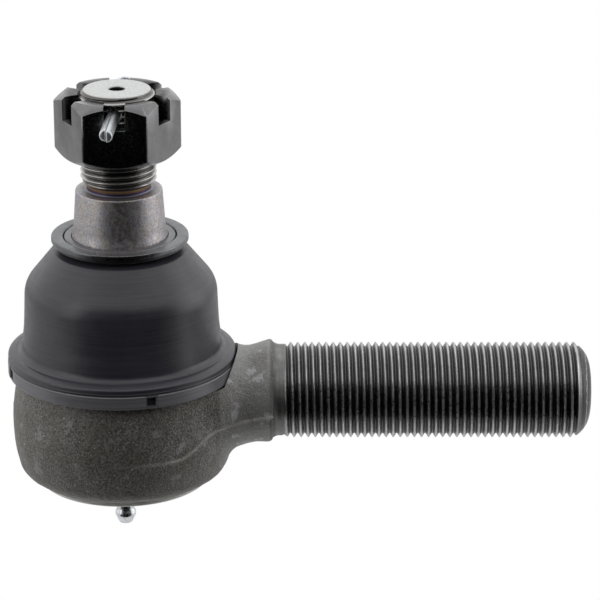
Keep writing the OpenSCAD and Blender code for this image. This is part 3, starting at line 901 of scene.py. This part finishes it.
class Paint(Nodes):
    """One node material: a Principled shader and short-hand for the nodes that feed it."""

    def __init__(self, name, **settings):
        self.material = bpy.data.materials.new(name)
        super().__init__(self.material)
        self.shader = self.tree.nodes["Principled BSDF"]
        self.finish(**settings)
        self.place = self.node("TexCoord").outputs["Object"]

    def stretched(self, x, y, z):
        """Object coordinates, scaled along each axis."""
        return self.node("Mapping", Vector=self.place, Scale=(x, y, z)).outputs["Vector"]

    def noise(self, size, detail=2.0, roughness=0.5, vector=None):
        """Noise with features of about size millimetres."""
        return self.node("TexNoise", Vector=vector or self.place, Scale=1 / (size * MM),
                         Detail=detail, Roughness=roughness).outputs["Fac"]

    def patchy(self, low, high, *features):
        """Drifts between low and high over a noise."""
        return self.between(self.noise(*features), 0.3, 0.7, low, high)

    def math(self, operation, a, b=0.0):
        made = self.node("Math", {"operation": operation})
        self.set(made, 0, a)
        self.set(made, 1, b)
        return made.outputs[0]

    def mix(self, factor, a, b):
        return self.node("MixRGB", Fac=factor, Color1=a, Color2=b).outputs["Color"]

    def ramp(self, value, *stops):
        """Colour ramp from (position, colour) stops."""
        made = self.node("ValToRGB", Fac=value)
        band = made.color_ramp
        while len(band.elements) < len(stops):
            band.elements.new(0.5)
        for element, (position, colour) in zip(band.elements, stops):
            element.position = position
            element.color = (*colour, 1)
        return made.outputs["Color"]

    def from_ball(self, *axes):
        """Offset from the ball centre in mm, along the given axes only."""
        scale = [1 / MM if name in axes else 0 for name in "XYZ"]
        shift = tuple(-centre * s for centre, s in zip(PIVOT, scale))
        return self.node("Mapping", Vector=self.place, Scale=tuple(scale), Location=shift).outputs["Vector"]

    def along(self, axis):
        """Coordinate along an axis, in mm from the ball centre."""
        return self.node("SeparateXYZ", Vector=self.from_ball(axis)).outputs[axis]

    def radius(self, *axes):
        """Distance from the ball centre, in mm, measured across the given axes only."""
        length = self.node("VectorMath", {"operation": "LENGTH"})
        self.set(length, 0, self.from_ball(*axes))
        return length.outputs["Value"]

    def bump(self, height, depth, normal=None):
        """Bump of about depth millimetres."""
        made = self.node("Bump", Height=height, Distance=depth * MM, Strength=1.0)
        if normal is not None:
            self.set(made, "Normal", normal)
        return made.outputs["Normal"]

    def finish(self, **outputs):
        for socket, value in outputs.items():
            self.set(self.shader, socket.replace("_", " "), value)
        return self.material


def forged_skin():
    """Shot-blasted forging: grey scale, fine grain and a brighter trimmed flash. Painted light: a lighter
    neck with light patches that are partly worn and partly painted highlight, painted shade just before the
    neck's end, and a turned foot edge painted bright as a highlight.
    """
    p = Paint("forged_skin")
    blotch = p.between(p.noise(9, 3, 0.6), 0.38, 0.62)
    grain = p.noise(0.55, 3, 0.65)
    cells = p.between(grain, 0.36, 0.66)
    base = p.mix(blotch, (0.21, 0.204, 0.182), (0.27, 0.264, 0.246))
    tone = p.mix(cells, (0.085, 0.082, 0.074), base)
    x = p.along("X")
    # Painted highlight: the neck is painted a lighter grey from 27 mm to 36 mm out from the ball centre.
    neck = p.between(x, 27, 36)
    tone = p.mix(p.math("MULTIPLY", neck, 0.45), tone, (0.52, 0.52, 0.52))
    # Light noise patches, partly wear and partly painted highlight, strongest on the neck.
    wear_and_highlight = p.between(p.noise(6, 4, 0.7), 0.58, 0.66)
    tone = p.mix(p.math("MULTIPLY", wear_and_highlight, p.between(neck, 0, 1, 0.25, 0.8)), tone, (0.6, 0.6, 0.61))
    # Painted shade: the skin is painted near black just before the neck's end.
    tone = p.mix(p.between(x, NECK_END - 1.4, NECK_END - 0.4, 0.0, 0.65), tone, (0.05, 0.05, 0.045))
    flash = p.node("Attribute", {"attribute_name": FLASH_MARK}).outputs["Fac"]
    tone = p.mix(p.math("MULTIPLY", flash, 0.4), tone, (0.6, 0.585, 0.55))
    speck = p.between(p.noise(0.5, 1, 0.5), 0.68, 0.76)
    tone = p.mix(speck, tone, (0.55, 0.54, 0.5))
    # A thin band at the turned foot edge, painted near white and fully metallic: a real turned edge,
    # painted bright as a highlight line.
    turned_edge_highlight = p.between(p.along("Z"), EYE_BOTTOM_Z + 0.25, EYE_BOTTOM_Z + 0.4, 1.0, 0.0)
    colour = p.mix(turned_edge_highlight, tone, (0.95, 0.94, 0.9))
    metal = p.between(turned_edge_highlight, 0, 1, 0.3, 1.0)
    rough = p.between(grain, 0.3, 0.7, 0.4, 0.58)
    rise = p.bump(grain, 0.2)
    rise = p.bump(p.noise(2.2), 0.16, rise)
    return p.finish(Base_Color=colour, Metallic=metal, Roughness=rough, Normal=rise)


def lathe_marks(p, axis, size):
    """Fine rings around an axis, as a cutting tool leaves them."""
    scale = [1 if name == axis else 0.02 for name in "XYZ"]
    return p.noise(size, 2, 0.6, p.stretched(*scale))


def turned_shank():
    """Turned and threaded steel: crests painted light as highlight, grooves painted dark as shade, painted
    shade on the run-out, and a dark sawn tip.
    """
    p = Paint("turned_shank", Metallic=1.0)
    x = p.along("X")
    rings = lathe_marks(p, "X", 0.18)
    stain = p.between(p.noise(5, 3, 0.6), 0.35, 0.7)
    plain = p.mix(stain, (0.26, 0.258, 0.255), (0.36, 0.356, 0.35))
    # Painted highlight and shade: the thread's crests are painted light and its grooves dark.
    crest = p.between(p.radius("Y", "Z"), SHANK_R - 0.7, SHANK_R - 0.1)
    cut = p.mix(crest, (0.19, 0.187, 0.19), p.mix(stain, (0.55, 0.55, 0.56), (0.7, 0.7, 0.71)))
    on_thread = p.between(x, 47.9, 48.6)
    # Painted shade: the run-out beside the neck's end is painted darker.
    colour = p.mix(p.between(x, 45, 46.4), (0.16, 0.158, 0.155), plain)
    colour = p.mix(on_thread, colour, cut)
    colour = p.mix(p.between(rings, 0.35, 0.65, 0.25, 0.0), colour, (0.08, 0.08, 0.08))
    ragged = p.math("MULTIPLY", p.math("SUBTRACT", p.noise(1.1, 3, 0.7), 0.5), 0.9)
    from_tip = p.math("DIVIDE", p.math("SUBTRACT", SHANK_REACH, p.math("ADD", x, ragged)), 5.0)
    dark, pale = (0.05, 0.05, 0.053), (0.5, 0.49, 0.47)
    crown = p.ramp(from_tip, (0.0, dark), (0.34, dark), (0.38, pale), (0.42, dark), (1.0, dark))
    colour = p.mix(p.between(from_tip, 0.6, 0.75, 0.85, 0.0), colour, crown)
    rough = p.patchy(0.26, 0.38, 0.8)
    rough = p.mix(on_thread, p.patchy(0.46, 0.6, 3), rough)
    return p.finish(Base_Color=colour, Roughness=rough, Normal=p.bump(rings, 0.012))


def turned_seat():
    """Machined faces of the housing: boot seat, bore and the rolled lip, which is painted pale and hardly
    metallic as painted light.
    """
    p = Paint("turned_seat")
    rings = lathe_marks(p, "Z", 0.2)
    colour = p.mix(p.between(rings, 0.3, 0.7), (0.2, 0.2, 0.2), (0.36, 0.36, 0.35))
    rough = p.patchy(0.3, 0.42, 0.8)
    # Painted light: the rolled lip is painted pale and hardly metallic, lighter than the steel, so it looks
    # nearly white from behind.
    lip = p.between(p.along("Z"), EYE_BOTTOM_Z - 0.5, EYE_BOTTOM_Z - 0.35, 1.0, 0.0)
    colour = p.mix(lip, colour, (0.8, 0.79, 0.75))
    metal = p.between(lip, 0, 1, 1.0, 0.1)
    return p.finish(Base_Color=colour, Metallic=metal, Roughness=rough, Normal=p.bump(rings, 0.01))


def stud_steel():
    """Hardened stud: mottled grey taper, blue and straw tints beside the rolled thread."""
    p = Paint("stud_steel", Metallic=0.95)
    z = p.along("Z")
    r = p.radius("X", "Y")
    cloud = p.between(p.noise(2.4, 4, 0.65), 0.36, 0.64)
    fine = p.between(p.noise(0.55, 2, 0.6), 0.32, 0.68)
    warm = p.mix(fine, (0.38, 0.34, 0.32), (0.58, 0.55, 0.52))
    cool = p.mix(fine, (0.36, 0.345, 0.38), (0.54, 0.53, 0.57))
    steel = p.mix(cloud, warm, cool)
    plain = (0.34, 0.335, 0.33)
    height = p.between(z, SHOULDER_Z - 0.3, SHOULDER_Z + 2.9)
    tint = p.ramp(height, (0.0, plain), (0.12, (0.09, 0.09, 0.17)), (0.3, (0.1, 0.07, 0.13)),
                  (0.5, (0.42, 0.24, 0.12)), (0.75, (0.5, 0.4, 0.26)), (1.0, plain))
    relief = p.math("MULTIPLY", p.between(r, 10.2, 12, 1, 0), p.between(z, SHOULDER_Z - 0.3, SHOULDER_Z))
    steel = p.mix(relief, steel, tint)
    # Painted highlight and shade: the thread's crests are painted light and its roots dark.
    crest = p.between(r, STUD_R - 0.8, STUD_R - 0.15)
    thread = p.mix(crest, (0.16, 0.155, 0.15), (0.55, 0.54, 0.53))
    on_thread = p.between(z, RELIEF_TOP_Z, RELIEF_TOP_Z + 0.6)
    faced = p.between(z, STUD_TOP_Z - 0.35, STUD_TOP_Z - 0.05)
    colour = p.mix(on_thread, steel, thread)
    colour = p.mix(faced, colour, p.mix(fine, (0.6, 0.6, 0.6), (0.74, 0.75, 0.75)))
    rough = p.patchy(0.38, 0.52, 1.2, 3, 0.6)
    rough = p.mix(on_thread, rough, p.mix(faced, 0.24, 0.4))
    rise = p.bump(p.noise(0.5, 2, 0.6), 0.02, p.bump(lathe_marks(p, "Z", 0.2), 0.006))
    return p.finish(Base_Color=colour, Roughness=rough, Normal=rise)


def black_nut():
    """Black oxide over machined steel, painted near black towards the centre as shade, and lighter on its
    edges, partly worn and partly painted highlight.
    """
    p = Paint("black_nut", Metallic=1.0)
    cloud = p.patchy(0, 1, 3.5, 4, 0.6)
    colour = p.mix(cloud, (0.2, 0.2, 0.205), (0.24, 0.24, 0.245))
    # Painted shade: the top face, slots and bore inside about 13.5 mm are painted near black.
    colour = p.mix(p.between(p.radius("X", "Y"), 13.5, 15.6), (0.04, 0.04, 0.04), colour)
    # The sharp edges are painted lighter: partly worn oxide, partly painted highlight.
    edges = p.between(p.node("NewGeometry").outputs["Pointiness"], 0.53, 0.6)
    colour = p.mix(p.math("MULTIPLY", edges, 0.5), colour, (0.45, 0.45, 0.46))
    rough = p.patchy(0.2, 0.28, 0.9, 3, 0.6)
    rise = p.bump(p.noise(0.4, 3, 0.6), 0.008)
    return p.finish(Base_Color=colour, Roughness=rough, Normal=rise)


def zinc_plate(name, low_rough):
    """Bright zinc with faint drawing marks."""
    p = Paint(name, Metallic=0.95)
    cloud = p.noise(1.5, 3, 0.6)
    colour = p.mix(p.between(cloud, 0.3, 0.7), (0.72, 0.75, 0.78), (0.88, 0.9, 0.92))
    rough = p.patchy(low_rough, low_rough + 0.12, 0.6)
    return p.finish(Base_Color=colour, Roughness=rough, Normal=p.bump(p.noise(0.3), 0.008))


def washer_steel():
    """Pressed steel with a dull phosphate grey."""
    p = Paint("washer_steel", Metallic=1.0)
    cloud = p.between(p.noise(4, 3, 0.6), 0.35, 0.65)
    colour = p.mix(cloud, (0.15, 0.153, 0.16), (0.2, 0.204, 0.212))
    rough = p.patchy(0.26, 0.36, 1.0, 3)
    return p.finish(Base_Color=colour, Roughness=rough, Normal=p.bump(p.noise(0.35, 3, 0.6), 0.012))


def boot_rubber():
    """Satin moulded rubber with a faint bloom."""
    p = Paint("boot_rubber", Specular_IOR_Level=0.66)
    bloom = p.between(p.noise(14, 4, 0.6), 0.35, 0.7)
    turns = lathe_marks(p, "Z", 0.35)
    colour = p.mix(bloom, (0.03, 0.0292, 0.039), (0.041, 0.04, 0.053))
    colour = p.mix(p.between(turns, 0.35, 0.65, 0.0, 0.35), colour, (0.07, 0.07, 0.085))
    rough = p.patchy(0.32, 0.4, 3, 4, 0.65)
    rise = p.bump(p.noise(0.45), 0.006, p.bump(turns, 0.012))
    rise = p.bump(p.noise(7), 0.05, rise)
    return p.finish(Base_Color=colour, Roughness=rough, Normal=rise)


def coated_strip():
    """Black coated steel strip, rolled lengthwise."""
    p = Paint("coated_strip", Specular_IOR_Level=0.9)
    rolling = lathe_marks(p, "Z", 0.5)
    colour = p.mix(p.between(rolling, 0.3, 0.7), (0.12, 0.121, 0.134), (0.17, 0.171, 0.186))
    rough = p.patchy(0.3, 0.42, 2, 3)
    return p.finish(Base_Color=colour, Roughness=rough, Normal=p.bump(p.noise(0.5), 0.008))


def dull_rubber():
    """Dull black seal rubber."""
    p = Paint("dull_rubber", Specular_IOR_Level=0.7)
    colour = p.mix(p.noise(2, 3), (0.02, 0.02, 0.022), (0.035, 0.035, 0.037))
    rough = p.patchy(0.28, 0.4, 0.8, 3)
    return p.finish(Base_Color=colour, Roughness=rough, Normal=p.bump(p.noise(0.3), 0.01))


def pressed_steel():
    """Phosphated pressing."""
    p = Paint("pressed_steel", Metallic=0.9)
    colour = p.mix(p.patchy(0, 1, 3, 4, 0.6), (0.09, 0.09, 0.088), (0.15, 0.15, 0.145))
    rough = p.patchy(0.4, 0.58, 0.9, 3)
    return p.finish(Base_Color=colour, Roughness=rough, Normal=p.bump(p.noise(0.3, 3, 0.6), 0.015))


def spring_wire():
    """Oiled spring wire with drawing streaks."""
    p = Paint("spring_wire", Metallic=1.0)
    colour = p.mix(p.patchy(0, 1, 1.2, 3), (0.14, 0.145, 0.15), (0.26, 0.265, 0.27))
    rough = p.patchy(0.26, 0.4, 0.7)
    return p.finish(Base_Color=colour, Roughness=rough, Normal=p.bump(p.noise(0.25), 0.008))


def bearing_steel():
    """Hardened bearing steel, greased."""
    p = Paint("bearing_steel", Metallic=1.0)
    rings = lathe_marks(p, "Z", 0.3)
    colour = p.mix(p.between(rings, 0.3, 0.7), (0.3, 0.28, 0.25), (0.42, 0.4, 0.36))
    rough = p.patchy(0.24, 0.38, 0.9)
    return p.finish(Base_Color=colour, Roughness=rough, Normal=p.bump(rings, 0.006))


# ---- Assembly ----

def dress(piece, name, material, slot, body, *nodes):
    """Names a piece, gives it its finish, lets it ride on its body and stand for its CAD nodes."""
    piece.name = name
    piece.data.name = name
    if material is not None:
        paint_mesh(piece.data, material)
    if body is not None:
        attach(piece, body)
    if nodes:
        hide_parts(*nodes)
    return piece


def paint_mesh(mesh, *materials):
    """Gives a mesh these materials in place of any that it has."""
    mesh.materials.clear()
    for material in materials:
        mesh.materials.append(material)


def places(items, field):
    """Coordinates of a mesh's points or faces, in mm from the ball centre."""
    flat = np.zeros(len(items) * 3)
    items.foreach_get(field, flat)
    return ((flat.reshape(-1, 3) - np.array(PIVOT)) / MM).T


def paint_housing(mesh, skin, machined, thread):
    """Gives each face of the housing its finish by where it lies."""
    paint_mesh(mesh, skin, machined, thread)
    x, y, z = places(mesh.polygons, "center")
    radius = np.hypot(x, y)
    skin_here = np.abs(forging_distance(x, y, z)) < 0.45
    lip_here = (z < EYE_BOTTOM_Z + 0.1) & (radius > LIP_INNER_R - 0.5) & (radius < LIP_R + 0.3)
    index = np.where(skin_here & ~lip_here, 0, 1)
    index[x > NECK_END + 0.05] = 2
    mesh.polygons.foreach_set("material_index", index.astype(np.int32))


def mark_flash(mesh):
    """Stores at each point how near the trimmed flash it lies, for the paint to read."""
    x, _, z = places(mesh.vertices, "co")
    near = np.exp(-((z - parting_height(x)) / 0.5) ** 2) * smoothstep(x, -4, 16)
    mark = mesh.attributes.new(FLASH_MARK, "FLOAT", "POINT")
    mark.data.foreach_set("value", near.astype(np.float32))


def build_housing():
    piece = forged_body()
    combine(piece, lip_ring(), "UNION")
    combine(piece, shank(), "UNION")
    cut(piece, machined_room(), segments=160, sharp=38)
    dress(piece, "forged_housing", None, "forged_steel", "housing", "housing")
    mark_flash(piece.data)
    paint_housing(piece.data, forged_skin(), turned_seat(), turned_shank())


def build_stud():
    steel = stud_steel()
    zinc = zinc_plate("zinc_plate", 0.34)
    bright = zinc_plate("zinc_nipple", 0.22)
    dress(turned_stud(), "tapered_stud", steel, "turned_steel", "stud", "ball_stud")
    dress(slotted_nut(), "slotted_nut", black_nut(), "black_oxide", "stud", "castle_nut")
    dress(swept_cotter(), "split_pin", zinc, "zinc_plate", "stud", "cotter_pin")
    dress(nipple(), "nipple_body", bright, "zinc_plate", "housing", "grease_nipple")


def build_seals():
    rubber = boot_rubber()
    strip = washer_steel()
    lower = lathe("boot_lower", boot_lower_outline(), segments=144, sharp=50)
    dress(lower, "boot_lower", rubber, "boot_rubber", None, "dust_boot")
    upper = lathe("boot_upper", boot_upper_outline(), segments=144, sharp=50)
    dress(upper, "boot_upper", rubber, "boot_rubber", None, "dust_boot")
    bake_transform(lower)
    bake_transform(upper)
    bushing, washer, lip, wire = top_stack()
    dress(bushing, "collar_bushing", strip, "washer_steel", "collar", "stud_bushing")
    dress(washer, "collar_washer", strip, "washer_steel", "collar", "stud_washer")
    dress(lip, "collar_lip_ring", dull_rubber(), "seal_rubber", "collar", "seal_lip_ring")
    dress(wire, "collar_garter", spring_wire(), "spring_steel", "collar", "garter_spring")
    dress(retaining_ring(), "foot_ring", coated_strip(), "coated_steel", "housing", "boot_retaining_ring")


def build_socket():
    """The plug and both springs, and finishes for the inner pieces, whose CAD shape is right."""
    wire = spring_wire()
    bearing = bearing_steel()
    dress(pressed_plug(), "socket_plug", pressed_steel(), "phosphated_steel", "housing", "bottom_plug")
    main = dress(coil("pressure_spring", 1.1, 2.5, 28, 14), "socket_spring", wire, "spring_steel", None,
                 "pressure_spring")
    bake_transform(main)
    check = dress(coil("nipple_spring", 0.16, 8, 12, 6), "check_spring", wire, "spring_steel", None,
                  "nipple_spring")
    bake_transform(check)
    finishes = {
        "upper_bearing": bearing, "lower_bearing": bearing, "spring_seat": wire,
        "plug_seal": dull_rubber(), "nipple_ball": bearing,
    }
    for node, material in finishes.items():
        paint_mesh(frame["nodes"][node].data, material)


# ---- Studio ----

LOOK_AT = PIVOT + Vector((52.93, 0, 28.54)) * MM
CAMERA_AWAY = 0.9067
CAMERA_PITCH = math.radians(20.18)
CAMERA_LENS = 183.7
FLOOR_Z = -0.2


def camera():
    data = bpy.data.cameras.new("camera")
    data.lens = CAMERA_LENS
    data.sensor_width = 36
    eye = bpy.data.objects.new("camera", data)
    bpy.context.scene.collection.objects.link(eye)
    back = Vector((0, -math.cos(CAMERA_PITCH), math.sin(CAMERA_PITCH)))
    eye.location = LOOK_AT + back * CAMERA_AWAY
    eye.rotation_euler = (math.pi / 2 - CAMERA_PITCH, 0, 0)
    bpy.context.scene.camera = eye


def softbox(name, place, width, height, power):
    """Soft area light that points at the part."""
    data = bpy.data.lights.new(name, "AREA")
    data.shape = "RECTANGLE"
    data.size = width
    data.size_y = height
    data.energy = power
    lamp = bpy.data.objects.new(name, data)
    bpy.context.scene.collection.objects.link(lamp)
    lamp.location = place
    lamp.rotation_euler = (Vector(place) - LOOK_AT).to_track_quat("Z", "Y").to_euler()


def world():
    """White to the camera; for lighting, a white room that is dark on the camera's side."""
    scene_world = bpy.data.worlds.new("studio")
    bpy.context.scene.world = scene_world
    n = Nodes(scene_world)
    room = n.tree.nodes["Background"]
    direction = n.node("SeparateXYZ", Vector=n.node("TexCoord").outputs["Generated"])
    n.set(room, "Color", (1, 1, 1))
    n.set(room, "Strength", n.between(direction.outputs["Y"], -0.55, 0.1))
    white = n.node("Background", Color=(1, 1, 1))
    seen = n.shade(n.node("LightPath").outputs["Is Camera Ray"], room, white)
    n.set(n.tree.nodes["World Output"], "Surface", seen.outputs[0])


def floor():
    """Plain pale floor, open from below so that the part can be seen from there too."""
    reach_x, front, back = 4, -0.1, 6
    mesh = bpy.data.meshes.new("floor")
    mesh.from_pydata([(-reach_x, front, FLOOR_Z), (reach_x, front, FLOOR_Z), (reach_x, back, FLOOR_Z),
                      (-reach_x, back, FLOOR_Z)], [], [(0, 1, 2, 3)])
    plane = bpy.data.objects.new("floor", mesh)
    bpy.context.scene.collection.objects.link(plane)
    p = Paint("floor_white", Base_Color=(0.8, 0.8, 0.8), Roughness=0.9)
    seen = p.shade(p.node("LightPath").outputs["Is Camera Ray"], p.shader, p.node("Emission", Strength=1.0))
    side = p.shade(p.node("NewGeometry").outputs["Backfacing"], seen, p.node("BsdfTransparent"))
    p.set(p.tree.nodes["Material Output"], "Surface", side.outputs[0])
    mesh.materials.append(p.material)


def studio():
    camera()
    world()
    floor()
    softbox("left", (-0.95, -0.55, 0.3), 0.5, 1.0, 2)
    softbox("right", (1.1, 0.1, 0.3), 0.9, 1.0, 2)
    softbox("top", (0.0, -0.8, 1.2), 3.0, 1.0, 7)
    bpy.context.scene.view_settings.view_transform = "Standard"


build_housing()
build_stud()
build_seals()
build_socket()
studio()
